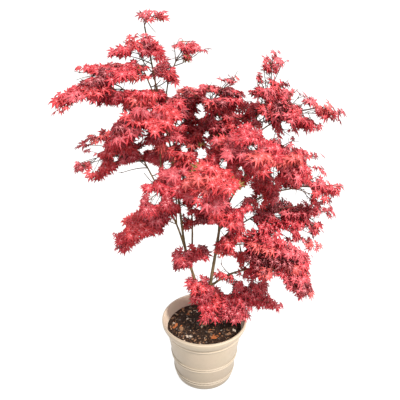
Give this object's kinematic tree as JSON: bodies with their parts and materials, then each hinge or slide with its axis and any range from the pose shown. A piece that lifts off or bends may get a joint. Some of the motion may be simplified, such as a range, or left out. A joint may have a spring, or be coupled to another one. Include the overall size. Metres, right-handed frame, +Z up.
{
  "type": "potted japanese maple",
  "caption": "Young ornamental tree in red leaf, two slim stems from one short trunk, airy layered crown, in a round ribbed planter of soil.",
  "frame": {"origin": "centre of the planter's flat underside", "axes": "+Z up along the trunk, +X to the right of the view and -Y to its front"},
  "size_m": [1.168, 0.9543, 1.6434],
  "materials": {
    "planter": "satin",
    "soil": "matt",
    "bark": "matt",
    "leaf": "soft sheen"
  },
  "bodies": {
    "root": {"planter": "planter", "soil": "soil", "trunk": "bark", "stem_left": "bark", "stem_right": "bark", "bough_back": "bark", "bough_back_left": "bark", "bough_back_mid": "bark", "bough_back_right": "bark", "bough_centre_back": "bark", "bough_centre_top": "bark", "bough_front": "bark", "bough_front_left": "bark", "bough_front_right": "bark", "bough_left": "bark", "bough_low_left": "bark", "bough_right_back": "bark", "bough_right_far": "bark", "bough_right_low": "bark", "bough_right_spur": "bark", "bough_right_tail": "bark", "bough_right_upper": "bark", "bough_tier_back": "bark", "bough_tier_left": "bark", "bough_tier_top": "bark", "bough_top_back": "bark", "bough_top_spray": "bark", "bough_upper_left": "bark", "leaves_back": "leaf", "leaves_back_left": "leaf", "leaves_back_mid": "leaf", "leaves_back_right": "leaf", "leaves_bottom_right": "leaf", "leaves_centre_back": "leaf", "leaves_centre_top": "leaf", "leaves_crest": "leaf", "leaves_front": "leaf", "leaves_front_left": "leaf", "leaves_front_low": "leaf", "leaves_front_right": "leaf", "leaves_left": "leaf", "leaves_low_left": "leaf", "leaves_peak": "leaf", "leaves_peak_right": "leaf", "leaves_right_back": "leaf", "leaves_right_crest": "leaf", "leaves_right_far": "leaf", "leaves_right_low": "leaf", "leaves_right_spur": "leaf", "leaves_right_tail": "leaf", "leaves_right_upper": "leaf", "leaves_tier_back": "leaf", "leaves_tier_left": "leaf", "leaves_tier_top": "leaf", "leaves_top_back": "leaf", "leaves_top_spray": "leaf", "leaves_upper_left": "leaf", "spray_left": "leaf", "spray_right": "leaf", "spray_trunk": "leaf"}
  },
  "joints": []
}
